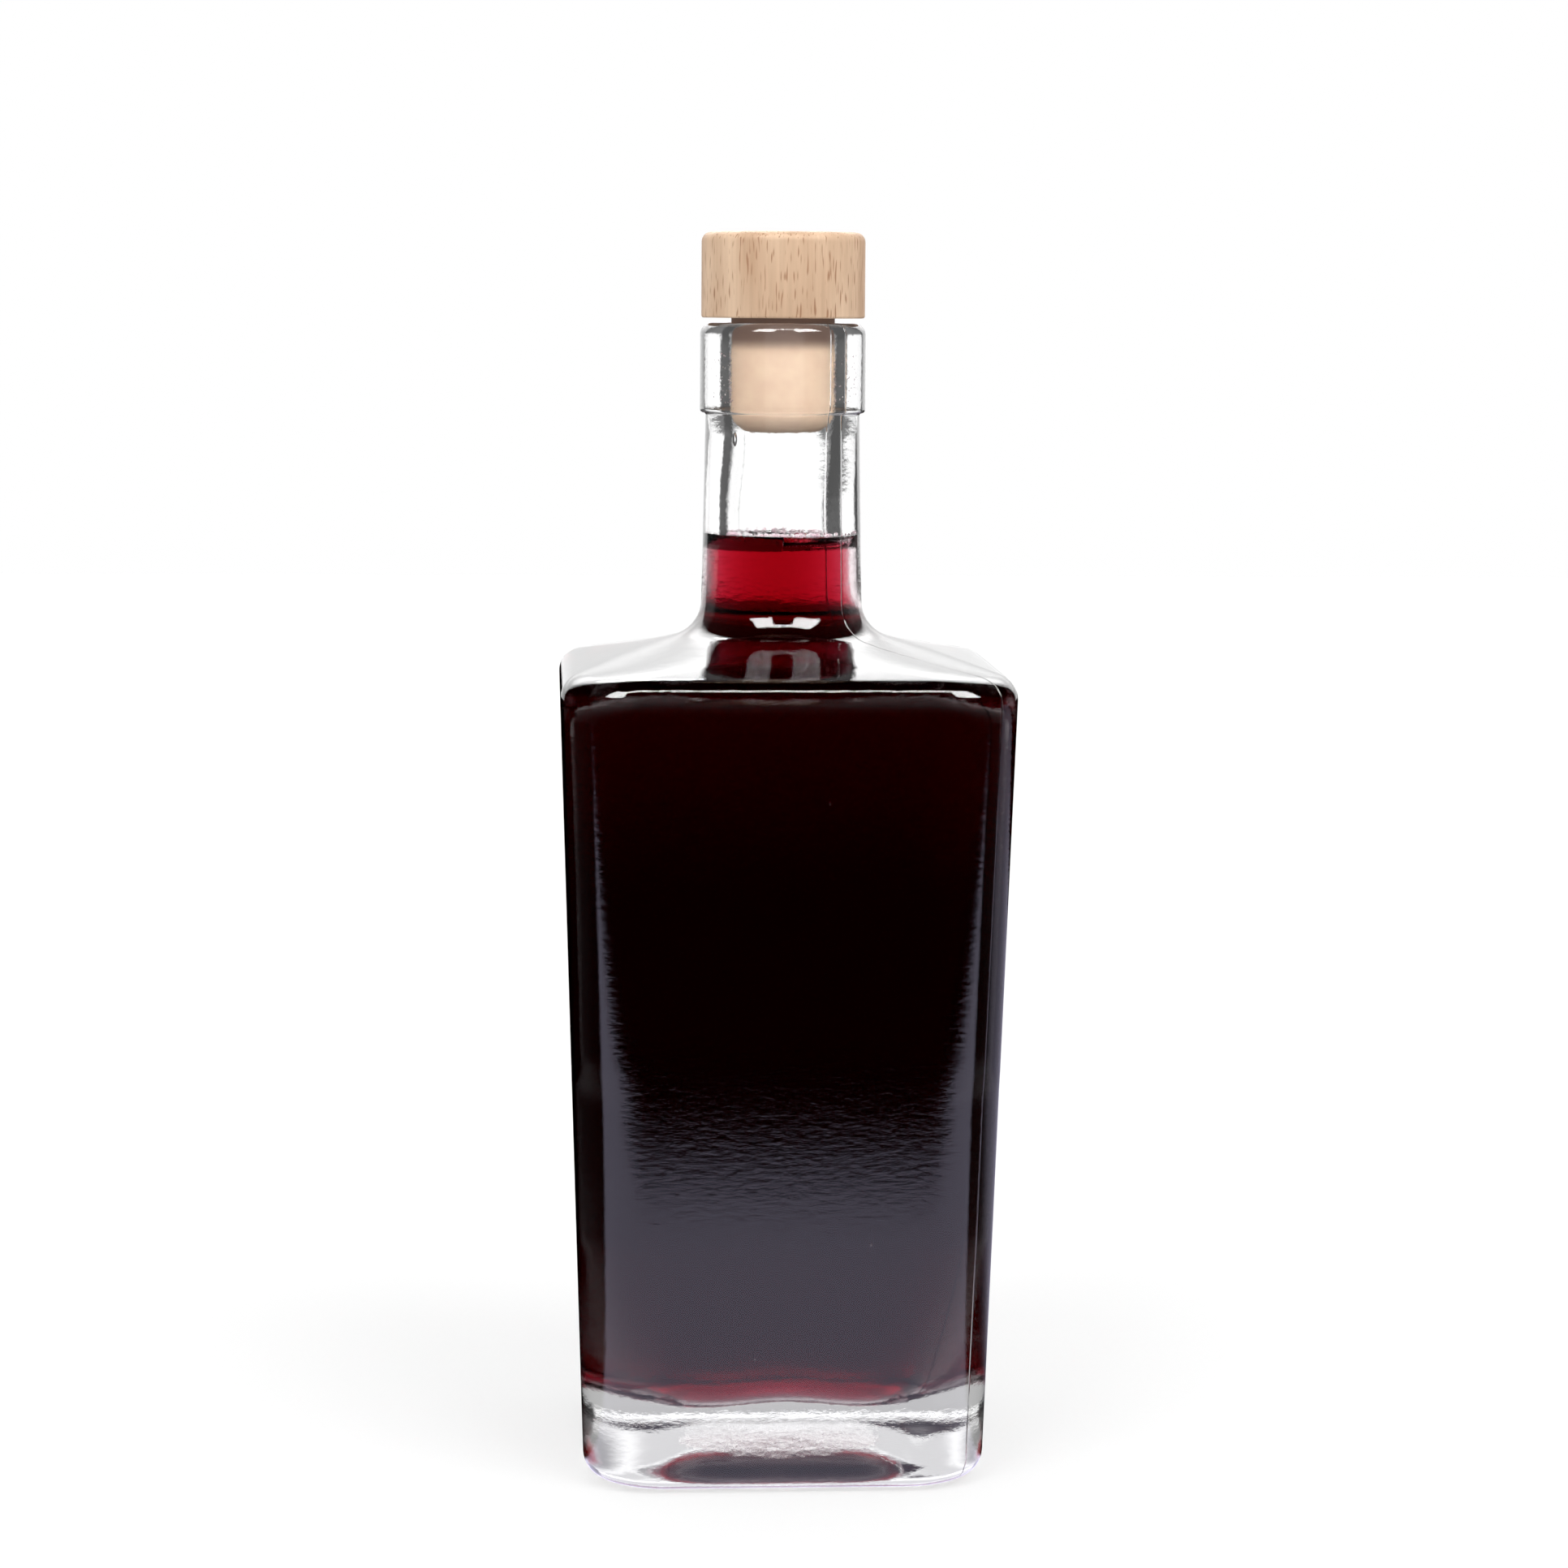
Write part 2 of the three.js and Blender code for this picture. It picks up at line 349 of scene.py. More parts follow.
floor_side_lift = 0.0023
floor_corner_radius = 0.007
foot_height = 0.044
foot_bend_radius = 0.04
foot_thickening = 0.0033
foot_rounding = 0.009
inner_shoulder_radius = 0.005
inner_neck_fillet = 0.016
inner_round_from = 0.010
pole_half = 0.002
inner_waviness = 0.00022
long_wave_across = 55
long_wave_along = 38
short_wave_across = 210
short_wave_along = 90
short_wave_shift = 7
short_wave_share = 0.35
bore_offset = Vector((-0.0005, 0.0002, 0))
bore_offset_top = 0.1885
bore_offset_fade = 0.012
longest_step = 0.004
flat_steps = (0.0, 0.34, 0.62, 0.84, 0.97)
arc_steps = 16
glass_ior = 1.5
ripple_scale = 450
ripple_stretch = 2.3
ripple_detail = 4
ripple_roughness = 0.6
ripple_strength = 0.11
ripple_depth = 0.0003
seam_width = 0.0003
seam_strength = 1.0
crease_strength = 0.7
crease_depth = 0.0008
through_glass_bounces = 28
mirror_bounces = 12

# Light crosses many skins of glass and drink on its way through the bottle.
scene.cycles.max_bounces = through_glass_bounces
scene.cycles.transmission_bounces = through_glass_bounces
scene.cycles.glossy_bounces = mirror_bounces


def body_half(z):
    return body_half_at_base + (body_half_at_shoulder - body_half_at_base) * z / shoulder_height


def body_corner(z):
    share = min(max(z / shoulder_height, 0), 1)
    return corner_at_base + (corner_at_shoulder - corner_at_base) * share


neck_root_height = (shoulder_height
                    + (body_half_at_shoulder - neck_radius_at_root) * math.tan(shoulder_slope))


def neck_radius(z):
    share = (z - neck_root_height) / (lip_top - lip_height - neck_root_height)
    return neck_radius_at_root + (neck_radius_at_lip - neck_radius_at_root) * share


def rounded_profile(corners, bend_steps=9):
    """The profile's points, with an arc at each corner that has a radius and no step too long."""
    points = []
    for i, (half, z, radius) in enumerate(corners):
        corner = Vector((half, z))
        if radius == 0:
            points.append(corner)
            continue
        back = (Vector(corners[i - 1][:2]) - corner).normalized()
        ahead = (Vector(corners[i + 1][:2]) - corner).normalized()
        half_angle = back.angle(ahead) / 2
        centre = corner + (back + ahead).normalized() * radius / math.sin(half_angle)
        start = corner + back * radius / math.tan(half_angle) - centre
        sweep = math.copysign(math.pi - 2 * half_angle, -(back.x * ahead.y - back.y * ahead.x))
        for step in range(bend_steps + 1):
            turn = Matrix.Rotation(sweep * step / bend_steps, 2)
            points.append(turn @ start + centre)
    even = []
    for point, following in zip(points, points[1:]):
        pieces = max(1, math.ceil((following - point).length / longest_step))
        even += [point.lerp(following, step / pieces) for step in range(pieces)]
    return even + [points[-1]]


def plan_corner(half, z, inset, square_half, round_half):
    """The corner radius in plan: square up to the shoulder's edge, round at the neck's fillet."""
    if z > shoulder_height / 2:
        square = (body_corner(z) - inset) / max(half, square_half)
        roundness = min(max((square_half - half) / (square_half - round_half), 0), 1)
        return half * (square + (1 - square) * roundness)
    least_corner = 0.35 * half
    return max(body_corner(z) - (body_half(z) - half), least_corner)


def section_ring(half, z, corner, lift):
    """Points round a square with rounded corners, or a circle where the corner is the half width."""
    flat = half - corner
    arc = corner * math.pi / 2
    quarter_length = 2 * flat + arc
    square = [flat * share for share in flat_steps]
    square += [flat + arc * step / arc_steps for step in range(arc_steps + 1)]
    square += [quarter_length - flat * share for share in reversed(flat_steps[1:])]
    count = len(square)
    roundness = corner / half
    evenness = min(max((roundness - 0.4) / 0.5, 0), 1)
    ring = []
    for quarter in range(4):
        turn = Matrix.Rotation(quarter * math.pi / 2, 2)
        for k, distance in enumerate(square):
            distance += (quarter_length * k / count - distance) * evenness
            if distance <= flat:
                point = Vector((half, distance))
            elif distance <= flat + arc:
                angle = (distance - flat) / max(corner, 1e-9)
                point = Vector((flat + corner * math.cos(angle), flat + corner * math.sin(angle)))
            else:
                point = Vector((quarter_length - distance, half))
            point = turn @ point
            side_share = math.cos(2 * math.atan2(point.y, point.x)) ** 2
            ring.append(Vector((point.x, point.y, z + lift * side_share)))
    return ring


def skin_mesh(name, rings):
    """A closed mesh through rings of points, with a pole in the middle of the first and last one."""
    per_ring = len(rings[0])
    vertices = [point for ring in rings for point in ring]
    faces = []
    for low in range(0, len(vertices) - per_ring, per_ring):
        for i in range(per_ring):
            right = (i + 1) % per_ring
            faces.append((low + i, low + right, low + per_ring + right, low + per_ring + i))
    for ring, start, flip in ((rings[0], 0, True), (rings[-1], len(vertices) - per_ring, False)):
        vertices.append(sum(ring, Vector()) / per_ring)
        pole = len(vertices) - 1
        for i in range(per_ring):
            pair = (start + i, start + (i + 1) % per_ring)
            faces.append((pair[1], pair[0], pole) if flip else (pair[0], pair[1], pole))
    mesh = bpy.data.meshes.new(name)
    mesh.from_pydata([tuple(v) for v in vertices], [], faces)
    mesh.shade_smooth()
    piece = bpy.data.objects.new(name, mesh)
    scene.collection.objects.link(piece)
    return piece


def cavity_corners(clearance, bore_top):
    """The cavity's corners from the floor up to a height in the bore, a clearance inside the glass."""
    inset = side_wall + clearance
    floor = floor_height + clearance
    edge_z = shoulder_height - shoulder_wall - clearance
    edge_half = body_half(edge_z) - inset
    bore = neck_radius(neck_root_height) - neck_wall - clearance
    root_z = edge_z + (edge_half - bore) * math.tan(shoulder_slope)
    return [
        (pole_half, floor + floor_dome, 0),
        (floor_dome_half_share * body_half(floor), floor + floor_dome_rise_share * floor_dome,
         floor_dome_radius),
        (body_half(floor) - inset - foot_thickening, floor, floor_corner_radius),
        (body_half(foot_height) - inset, foot_height, foot_bend_radius),
        (edge_half, edge_z, inner_shoulder_radius),
        (bore, root_z, inner_neck_fillet),
        (neck_radius(bore_top) - neck_wall - clearance, bore_top, 0),
    ]


def floor_lift(half, z):
    """How far the floor's edge rises in the middle of each side."""
    fade = min(max(1 - (z - floor_height) / (2 * floor_corner_radius), 0), 1)
    return floor_side_lift * fade * min(half / body_half(floor_height), 1)


def uneven(point):
    """Pushes a point of the free inside out or in a little, in soft waves, and the bore off centre."""
    if point.z > shoulder_height:
        below_plug = min(max((bore_offset_top - point.z) / bore_offset_fade, 0), 1)
        above_root = min(max((point.z - shoulder_height) / bore_offset_fade, 0), 1)
        point = point + bore_offset * (below_plug ** 2 * (3 - 2 * below_plug) * above_root)
    across_x, across_y = point.x * long_wave_across, point.y * long_wave_across
    long_wave = noise.noise(Vector((across_x, across_y, point.z * long_wave_along)))
    across_x, across_y = point.x * short_wave_across + short_wave_shift, point.y * short_wave_across
    short_wave = noise.noise(Vector((across_x, across_y, point.z * short_wave_along)))
    outward = Vector((point.x, point.y, 0))
    if outward.length < 1e-6:
        return point
    return point + outward.normalized() * inner_waviness * (long_wave + short_wave_share * short_wave)


def cavity_rings(clearance, bore_top):
    """The cavity's skin in rings from the floor up, for the glass or for the drink that fills it."""
    corners = cavity_corners(clearance, bore_top)
    square_half = corners[4][0] - inner_shoulder_radius
    round_half = corners[5][0] + inner_round_from
    rings = []
    for half, z in rounded_profile(corners):
        foot_share = min(max((foot_height - z) / (foot_height - floor_height), 0), 1)
        corner = plan_corner(half, z, side_wall + clearance, square_half, round_half)
        corner = min(corner + foot_rounding * foot_share, half)
        ring = section_ring(half, z, corner, floor_lift(half, z))
        rings.append([uneven(point) for point in ring])
    return rings


bore_end = bore_step_height - bore_step_length
outer_corners = [
    (pole_half, push_up_height, 0),
    (push_up_half, push_up_edge_share * push_up_height, push_up_radius),
    (bearing_half, 0, bearing_radius),
    (body_half(0), 0, heel_radius),
    (body_half(shoulder_height), shoulder_height, shoulder_edge_radius),
    (neck_radius_at_root, neck_root_height, neck_root_fillet),
    (neck_radius_at_lip, lip_top - lip_height, neck_top_fillet),
    (lip_radius, lip_top - lip_height, lip_step_radius),
    (lip_radius, lip_top, lip_top_radius),
    (mouth_radius, lip_top, mouth_edge_radius),
    (mouth_radius, bore_step_height, bore_step_radius),
    (neck_radius(bore_end) - neck_wall, bore_end, 0),
]
outer_span = (0, body_half_at_shoulder - shoulder_edge_radius, neck_radius_at_root + neck_root_fillet)
outer_rings = [section_ring(half, z, plan_corner(half, z, *outer_span), 0)
               for half, z in rounded_profile(outer_corners)]
inner_rings = cavity_rings(0, bore_end - bore_join)
glass = skin_mesh("glass", outer_rings + inner_rings[::-1])

# A long blister in the neck's wall and a few seeds, caught in the glass when it was blown.
caught_bubbles = [
    (Vector((-0.0088, -0.0094, 0.1890)), Vector((0.00045, 0.0004, 0.0013))),
    (Vector((0.0066, -body_half(0.126) + 0.0016, 0.126)), Vector((0.00022, 0.00022, 0.00022))),
    (Vector((0.0148, -body_half(0.046) + 0.0016, 0.046)), Vector((0.00026, 0.00026, 0.00026))),
    (Vector((-0.0170, -body_half(0.052) + 0.0012, 0.052)), Vector((0.00014, 0.00014, 0.00014))),
    (Vector((-0.0060, -body_half(0.025) + 0.0012, 0.025)), Vector((0.00016, 0.00016, 0.00016))),
    (Vector((body_half(0.105) - 0.0014, 0.0090, 0.105)), Vector((0.0002, 0.0002, 0.0003))),
    (Vector((-0.0120, body_half(0.080) - 0.0014, 0.080)), Vector((0.0002, 0.0002, 0.0002))),
]
first_caught_vertex = len(glass.data.vertices)
glass_mesh = bmesh.new()
glass_mesh.from_mesh(glass.data)
for middle, radii in caught_bubbles:
    placed = Matrix.Translation(middle) @ Matrix.Diagonal((*radii, 1))
    made = bmesh.ops.create_uvsphere(glass_mesh, u_segments=12, v_segments=8, radius=1, matrix=placed)
    walls = list({face for vertex in made["verts"] for face in vertex.link_faces})
    bmesh.ops.reverse_faces(glass_mesh, faces=walls)
    for face in walls:
        face.smooth = True
glass_mesh.to_mesh(glass.data)
glass_mesh.free()

clear_glass = bpy.data.materials.new("clear_glass")
clear_glass.use_nodes = True
nodes, links = clear_glass.node_tree.nodes, clear_glass.node_tree.links
shader = nodes["Principled BSDF"]
shader.inputs["Base Color"].default_value = (1, 1, 1, 1)
shader.inputs["Roughness"].default_value = 0.0
shader.inputs["IOR"].default_value = glass_ior
shader.inputs["Transmission Weight"].default_value = 1.0
glass_coordinates = nodes.new("ShaderNodeTexCoord")
stretch = nodes.new("ShaderNodeMapping")
stretch.inputs["Scale"].default_value = (1, 1, ripple_stretch)
ripple = nodes.new("ShaderNodeTexNoise")
ripple.inputs["Scale"].default_value = ripple_scale
ripple.inputs["Detail"].default_value = ripple_detail
ripple.inputs["Roughness"].default_value = ripple_roughness
rippled = nodes.new("ShaderNodeBump")
rippled.inputs["Strength"].default_value = ripple_strength
rippled.inputs["Distance"].default_value = ripple_depth
links.new(glass_coordinates.outputs["Object"], stretch.inputs["Vector"])
links.new(stretch.outputs[0], ripple.inputs["Vector"])
links.new(ripple.outputs[0], rippled.inputs["Height"])

# The two halves of the mould leave a fine seam up two opposite corners.
glass_place = nodes.new("ShaderNodeSeparateXYZ")
links.new(glass_coordinates.outputs["Object"], glass_place.inputs[0])
off_seam = math_node("ABSOLUTE", math_node("ADD", glass_place.outputs[0], glass_place.outputs[1]))
seamed = nodes.new("ShaderNodeBump")
seamed.inputs["Strength"].default_value = seam_strength
seamed.inputs["Distance"].default_value = seam_width / 3
links.new(rest_of(step_node(off_seam, 0.0, seam_width)), seamed.inputs["Height"])
links.new(rippled.outputs[0], seamed.inputs["Normal"])
links.new(seamed.outputs[0], shader.inputs["Normal"])
glass.data.materials.append(clear_glass)

# Where the drink wets the glass, there is no air for the inner face to mirror in.
wetted_glass = clear_glass.copy()
wetted_glass.name = "wetted_glass"
wetted_glass.node_tree.nodes["Principled BSDF"].inputs["Specular Tint"].default_value = (0, 0, 0, 1)
glass.data.materials.append(wetted_glass)

# The push-up chilled first in the mould, so its skin is rough and creased.
chilled_glass = clear_glass.copy()
chilled_glass.name = "chilled_glass"
creases = chilled_glass.node_tree.nodes["Bump"]
creases.inputs["Strength"].default_value = crease_strength
creases.inputs["Distance"].default_value = crease_depth
glass.data.materials.append(chilled_glass)

fill_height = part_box("liquid")[1][2]
first_inner_vertex = len(outer_rings) * len(outer_rings[0])
for face in glass.data.polygons:
    inside = min(face.vertices) >= first_inner_vertex
    if inside and face.center.z < fill_height and max(face.vertices) < first_caught_vertex:
        face.material_index = 1
    if not inside and face.center.z < push_up_height + 1e-5 and face.center.xy.length < chilled_radius:
        face.material_index = 2
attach(glass, "bottle")
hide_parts("glass_bottle")


# Liquid
# A clear dark red drink that fills the bottle up into the neck. It wets the glass all over, so it
# reaches a hair into the wall, and it climbs the bore by a small meniscus.
wetting = 0.00015
meniscus_height = 0.0011
meniscus_width = 0.0022
meniscus_bend = 2.2
meniscus_shares = (0.08, 0.18, 0.32, 0.5, 0.75, 1.0)
level_halves = (0.005, 0.002)
drink_ior = 1.40
drink_colour = (0.803, 0.0, 0.20, 1)
drink_density = 345

liquid_rings = cavity_rings(-wetting, fill_height + meniscus_height)
surface_half = neck_radius(fill_height) - neck_wall + wetting
for share in meniscus_shares:
    half = surface_half - meniscus_width * share
    climb = meniscus_height * (1 - share) ** meniscus_bend
    liquid_rings.append(section_ring(half, fill_height + climb, half, 0))
for half in level_halves:
    liquid_rings.append(section_ring(half, fill_height, half, 0))
liquid = skin_mesh("drink", liquid_rings)

red_drink = bpy.data.materials.new("red_drink")
red_drink.use_nodes = True
nodes, links = red_drink.node_tree.nodes, red_drink.node_tree.links
shader = nodes["Principled BSDF"]
shader.inputs["Base Color"].default_value = (1, 1, 1, 1)
shader.inputs["Roughness"].default_value = 0.0
shader.inputs["IOR"].default_value = drink_ior
shader.inputs["Specular Tint"].default_value = (0, 0, 0, 1)
shader.inputs["Transmission Weight"].default_value = 1.0
absorption = nodes.new("ShaderNodeVolumeAbsorption")
absorption.inputs["Color"].default_value = drink_colour
absorption.inputs["Density"].default_value = drink_density
links.new(absorption.outputs[0], nodes["Material Output"].inputs["Volume"])
liquid.data.materials.append(red_drink)

# Only the free surface, which meets the air, mirrors the room.
drink_surface = red_drink.copy()
drink_surface.name = "drink_surface"
drink_surface.node_tree.nodes["Principled BSDF"].inputs["Specular Tint"].default_value = (1, 1, 1, 1)
liquid.data.materials.append(drink_surface)
for face in liquid.data.polygons:
    if face.center.z > fill_height - 1e-5 and face.normal.z > 0.2:
        face.material_index = 1
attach(liquid, "bottle")
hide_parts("liquid")


# Foam
# Small bubbles that gather where the drink meets the glass, left from filling and shaking. Each is
# a thin ball of the drink. Some cling to the wall above the surface, the others float on it.
foam_count = 420
foam_radius = (0.0002, 0.00048)
foam_band = 0.0028
foam_gap = 0.0003
foam_crowding_power = 1.6
foam_size_at_wall = 1.1
foam_size_lost_inward = 0.5
foam_lift = 0.9
foam_follows_bore = 0.9
clinging_below = 0.22
clinging_drop = 0.4
film_ior = 1.33
film_roughness = 0.02
film_clearness = 0.08
film_mottle_scale = 900
film_pink = (0.95, 0.70, 0.78, 1)
film_white = (1.0, 0.98, 0.99, 1)

bpy.ops.object.select_all(action="DESELECT")
bpy.ops.mesh.primitive_uv_sphere_add(segments=8, ring_count=6, radius=1)
foam = bpy.context.object
foam.name = "foam"
ball_vertices = [vertex.co.copy() for vertex in foam.data.vertices]
ball_faces = [tuple(face.vertices) for face in foam.data.polygons]


def add_ball(vertices, faces, middle, radius):
    start = len(vertices)
    vertices += [tuple(middle + co * radius) for co in ball_vertices]
    faces += [tuple(start + i for i in face) for face in ball_faces]


random.seed(11)
foam_vertices = []
foam_faces = []
for _ in range(foam_count):
    angle = random.uniform(0, math.tau)
    crowding = random.random() ** foam_crowding_power
    radius = random.uniform(*foam_radius) * (foam_size_at_wall - foam_size_lost_inward * crowding)
    if crowding < clinging_below:
        distance = surface_half - wetting - radius
        climb = meniscus_height - clinging_drop * radius
    else:
        distance = surface_half - wetting - radius - foam_gap - foam_band * crowding
        climb = meniscus_height * max(1 - (surface_half - distance) / meniscus_width, 0) ** meniscus_bend
    middle = Vector((distance * math.cos(angle), distance * math.sin(angle),
                     fill_height + climb + foam_lift * radius)) + bore_offset * foam_follows_bore
    add_ball(foam_vertices, foam_faces, middle, radius)
foam.data.clear_geometry()
foam.data.from_pydata(foam_vertices, [], foam_faces)
foam.data.shade_smooth()


def ramp(value, low, high, low_colour=(0, 0, 0, 1), high_colour=(1, 1, 1, 1)):
    node = nodes.new("ShaderNodeValToRGB")
    node.color_ramp.elements[0].position = low
    node.color_ramp.elements[0].color = low_colour
    node.color_ramp.elements[1].position = high
    node.color_ramp.elements[1].color = high_colour
    links.new(value, node.inputs[0])
    return node.outputs[0]


bubble_film = bpy.data.materials.new("bubble_film")
bubble_film.use_nodes = True
nodes, links = bubble_film.node_tree.nodes, bubble_film.node_tree.links
shader = nodes["Principled BSDF"]
shader.inputs["Roughness"].default_value = film_roughness
shader.inputs["IOR"].default_value = film_ior
shader.inputs["Transmission Weight"].default_value = film_clearness
film_mottle = nodes.new("ShaderNodeTexNoise")
film_mottle.inputs["Scale"].default_value = film_mottle_scale
links.new(nodes.new("ShaderNodeTexCoord").outputs["Object"], film_mottle.inputs["Vector"])
film_colour = ramp(film_mottle.outputs[0], 0.35, 0.65, film_pink, film_white)
links.new(film_colour, shader.inputs["Base Color"])
foam.data.materials.append(bubble_film)
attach(foam, "bottle")


# Droplets
# Drops of the drink that cling to the bore beside the plug, where the bottle was shaken. They are
# clearer than the foam's bubbles.
droplet_count = 90
droplet_radius = (0.00008, 0.00019)
droplet_heights = (0.1955, 0.2045)
droplet_sides = (-2.85, -0.3)
droplet_spread = 0.28
droplet_stand_off = 0.6
droplet_clearness = 0.6

random.seed(5)
droplet_vertices = []
droplet_faces = []
for _ in range(droplet_count):
    side = random.choice(droplet_sides) + random.uniform(-droplet_spread, droplet_spread)
    radius = random.uniform(*droplet_radius)
    distance = mouth_radius - droplet_stand_off * radius
    middle = Vector((distance * math.cos(side), distance * math.sin(side),
                     random.uniform(*droplet_heights)))
    add_ball(droplet_vertices, droplet_faces, middle, radius)
droplet_mesh = bpy.data.meshes.new("droplets")
droplet_mesh.from_pydata(droplet_vertices, [], droplet_faces)
droplet_mesh.shade_smooth()
droplets = bpy.data.objects.new("droplets", droplet_mesh)
scene.collection.objects.link(droplets)
wet_drops = bubble_film.copy()
wet_drops.name = "wet_drops"
shader = wet_drops.node_tree.nodes["Principled BSDF"]
shader.inputs["Transmission Weight"].default_value = droplet_clearness
droplets.data.materials.append(wet_drops)
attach(droplets, "bottle")


# Stopper plug
# A moulded synthetic cork, matt and pale, with a rounded end. A spigot on top is glued into the head.
# The ring close under the head is darker with painted shade, standing in for the head's shadow.
plug_low, plug_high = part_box("stopper_plug")
head_low, head_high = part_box("stopper_head")
plug_radius = plug_high[0]
plug_length = head_low[2] - plug_low[2]
plug_end_radius = 0.004
spigot_radius = 0.006
spigot_length = plug_high[2] - head_low[2]
smooth_angle = math.radians(35)
cork_roughness = 0.62
cork_mottle_scale = 330
cork_dark = (0.93, 0.67, 0.48, 1)
cork_pale = (1.0, 0.76, 0.55, 1)
pore_strength = 0.12
pore_depth = 0.0003
head_shadow_depth = 0.0062
head_shadow_full_share = 0.6
head_shadow_colour = (0.42, 0.27, 0.21, 1)

bpy.ops.object.select_all(action="DESELECT")
bpy.ops.mesh.primitive_cylinder_add(vertices=96, radius=plug_radius, depth=plug_length,
                                    location=(0, 0, plug_low[2] + plug_length / 2))
plug = bpy.context.object
plug.name = "plug"
bpy.ops.object.transform_apply(location=True, rotation=True, scale=True)


def pick_faces(piece, wanted):
    """Leaves edit mode with just the faces picked whose middle and normal are wanted."""
    bpy.ops.object.mode_set(mode="EDIT")
    bpy.ops.mesh.select_mode(type="FACE")
    mesh = bmesh.from_edit_mesh(piece.data)
    for face in mesh.faces:
        face.select_set(bool(wanted(face.calc_center_median(), face.normal)))
    bmesh.update_edit_mesh(piece.data)


def pick_edges(piece, wanted):
    """Leaves edit mode with just the edges picked whose two ends are wanted."""
    bpy.ops.object.mode_set(mode="EDIT")
    bpy.ops.mesh.select_mode(type="EDGE")
    mesh = bmesh.from_edit_mesh(piece.data)
    for edge in mesh.edges:
        edge.select_set(bool(wanted(edge.verts[0].co) and wanted(edge.verts[1].co)))
    bmesh.update_edit_mesh(piece.data)


pick_edges(plug, lambda co: co.z < plug_low[2] + 1e-5)
bpy.ops.mesh.bevel(offset=plug_end_radius, segments=10, profile=0.5)
pick_faces(plug, lambda middle, normal: normal.z > 0.9 and middle.z > head_low[2] - 1e-5)
bpy.ops.mesh.inset(thickness=plug_radius - spigot_radius)
bpy.ops.mesh.extrude_region_move(TRANSFORM_OT_translate={"value": (0, 0, spigot_length)})
bpy.ops.object.mode_set(mode="OBJECT")
bpy.ops.object.shade_smooth_by_angle(angle=smooth_angle)


def colour_mix(kind, share, first, second):
    node = nodes.new("ShaderNodeMix")
    node.data_type = "RGBA"
    node.blend_type = kind
    factor, colour_a, colour_b = node.inputs[0], node.inputs[6], node.inputs[7]
    for socket, value in ((factor, share), (colour_a, first), (colour_b, second)):
        if isinstance(value, (float, tuple)):
            socket.default_value = value
        else:
            links.new(value, socket)
    return node.outputs[2]


moulded_cork = bpy.data.materials.new("moulded_cork")
moulded_cork.use_nodes = True
nodes, links = moulded_cork.node_tree.nodes, moulded_cork.node_tree.links
shader = nodes["Principled BSDF"]
shader.inputs["Roughness"].default_value = cork_roughness
cork_coordinates = nodes.new("ShaderNodeTexCoord")
cork_place = nodes.new("ShaderNodeSeparateXYZ")
links.new(cork_coordinates.outputs["Object"], cork_place.inputs[0])
cork_mottle = nodes.new("ShaderNodeTexNoise")
cork_mottle.inputs["Scale"].default_value = cork_mottle_scale
cork_mottle.inputs["Detail"].default_value = 4
links.new(cork_coordinates.outputs["Object"], cork_mottle.inputs["Vector"])
cork_colour = ramp(cork_mottle.outputs[0], 0.3, 0.7, cork_dark, cork_pale)
# Painted shade: the head's shadow is painted into the plug's colour, darkest just under the head.
head_shadow_share = step_node(cork_place.outputs[2], head_low[2] - head_shadow_depth,
                    head_low[2] - head_shadow_full_share * head_shadow_depth)
links.new(colour_mix("MIX", head_shadow_share, cork_colour, head_shadow_colour), shader.inputs["Base Color"])
pores = nodes.new("ShaderNodeBump")
pores.inputs["Strength"].default_value = pore_strength
pores.inputs["Distance"].default_value = pore_depth
links.new(cork_mottle.outputs[0], pores.inputs["Height"])
links.new(pores.outputs[0], shader.inputs["Normal"])
plug.data.materials.append(moulded_cork)
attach(plug, "stopper")
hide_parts("stopper_plug")


# Stopper head
# A turned beech knob with the grain along its axis, its top edge eased and its lower edge left
# crisp. A blind socket in its underside takes the plug's spigot.
head_radius = head_high[0]
head_height = head_high[2] - head_low[2]
head_top_edge = 0.0018
head_low_edge = 0.0004
socket_radius = 0.0063
socket_depth = 0.0073
wood_roughness = 0.55
wood_dark = (0.615, 0.40, 0.255, 1)
wood_pale = (0.81, 0.585, 0.405, 1)
fibre_shade = (0.90, 0.88, 0.86, 1)
fleck_colour = (0.42, 0.22, 0.12, 1)
fleck_strength = 0.15
fleck_depth = 0.0002

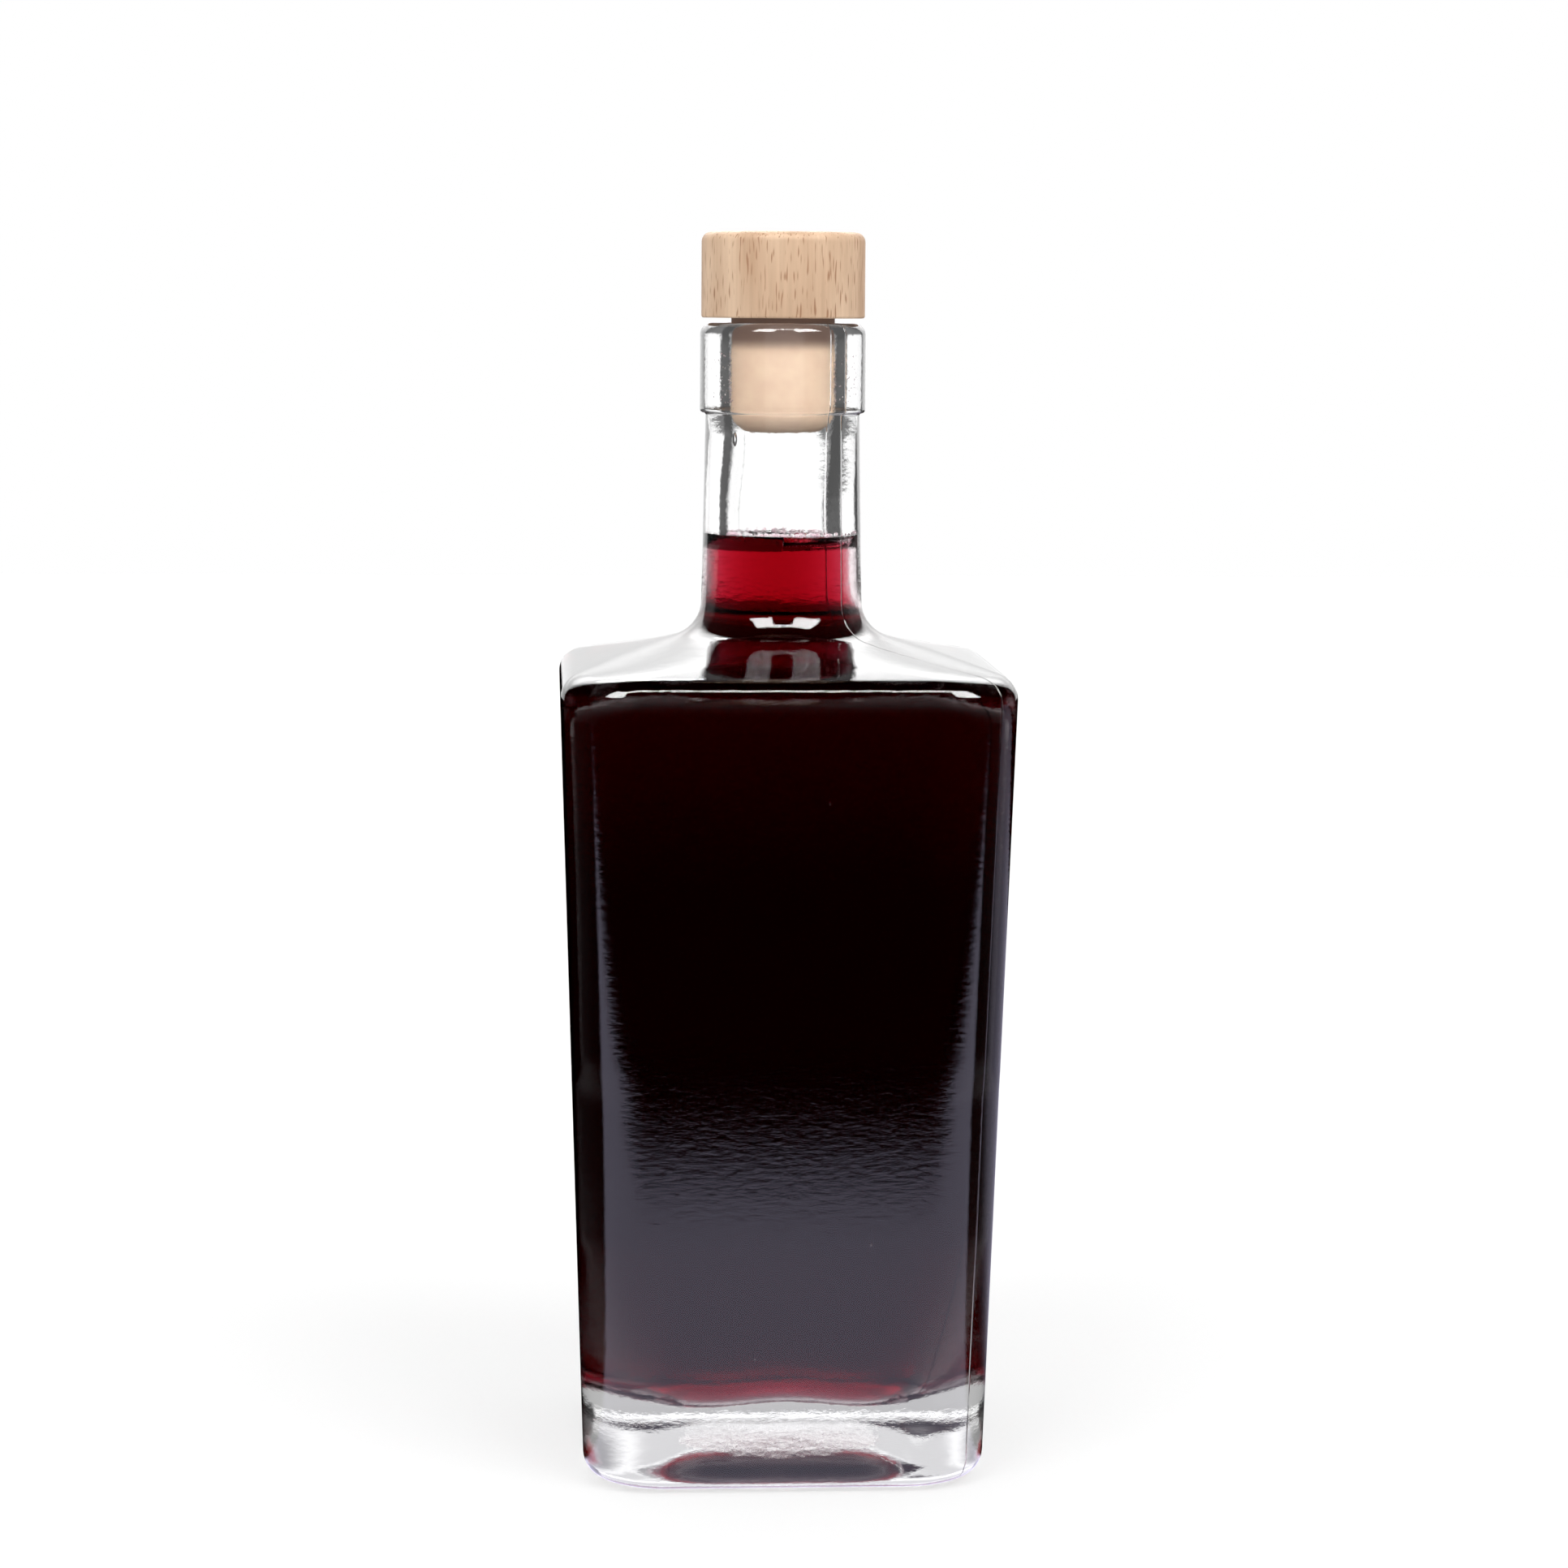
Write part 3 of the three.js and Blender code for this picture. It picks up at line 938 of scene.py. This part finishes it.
bpy.ops.object.select_all(action="DESELECT")
bpy.ops.mesh.primitive_cylinder_add(vertices=128, radius=head_radius, depth=head_height,
                                    location=(0, 0, head_low[2] + head_height / 2))
head = bpy.context.object
head.name = "head"
bpy.ops.object.transform_apply(location=True, rotation=True, scale=True)
pick_edges(head, lambda co: co.z > head_high[2] - 1e-5)
bpy.ops.mesh.bevel(offset=head_top_edge, segments=8, profile=0.5)
pick_edges(head, lambda co: co.z < head_low[2] + 1e-5)
bpy.ops.mesh.bevel(offset=head_low_edge, segments=3, profile=0.5)
pick_faces(head, lambda middle, normal: normal.z < -0.9 and middle.z < head_low[2] + 1e-5)
bpy.ops.mesh.inset(thickness=head_radius - head_low_edge - socket_radius)
bpy.ops.mesh.extrude_region_move(TRANSFORM_OT_translate={"value": (0, 0, socket_depth)})
bpy.ops.object.mode_set(mode="OBJECT")
bpy.ops.object.shade_smooth_by_angle(angle=smooth_angle)

beech = bpy.data.materials.new("beech")
beech.use_nodes = True
nodes, links = beech.node_tree.nodes, beech.node_tree.links
shader = nodes["Principled BSDF"]
shader.inputs["Roughness"].default_value = wood_roughness
grain_coordinates = nodes.new("ShaderNodeTexCoord")


def along_grain(scale, stretch_z, detail):
    """Noise drawn out along the wood's grain."""
    mapping = nodes.new("ShaderNodeMapping")
    mapping.inputs["Scale"].default_value = (1, 1, stretch_z)
    texture = nodes.new("ShaderNodeTexNoise")
    texture.inputs["Scale"].default_value = scale
    texture.inputs["Detail"].default_value = detail
    links.new(grain_coordinates.outputs["Object"], mapping.inputs["Vector"])
    links.new(mapping.outputs[0], texture.inputs["Vector"])
    return texture.outputs[0]


broad = ramp(along_grain(scale=160, stretch_z=0.16, detail=2), 0.35, 0.65, wood_dark, wood_pale)
fibre = ramp(along_grain(scale=1500, stretch_z=0.05, detail=3), 0.3, 0.7, fibre_shade, (1, 1, 1, 1))
flecks = ramp(along_grain(scale=3000, stretch_z=0.1, detail=0), 0.64, 0.76)
wood_colour = colour_mix("MIX", flecks, colour_mix("MULTIPLY", 1.0, broad, fibre), fleck_colour)
links.new(wood_colour, shader.inputs["Base Color"])
sunk_flecks = nodes.new("ShaderNodeBump")
sunk_flecks.inputs["Strength"].default_value = fleck_strength
sunk_flecks.inputs["Distance"].default_value = fleck_depth
sunk_flecks.invert = True
links.new(flecks, sunk_flecks.inputs["Height"])
links.new(sunk_flecks.outputs[0], shader.inputs["Normal"])
head.data.materials.append(beech)
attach(head, "stopper")
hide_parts("stopper_head")
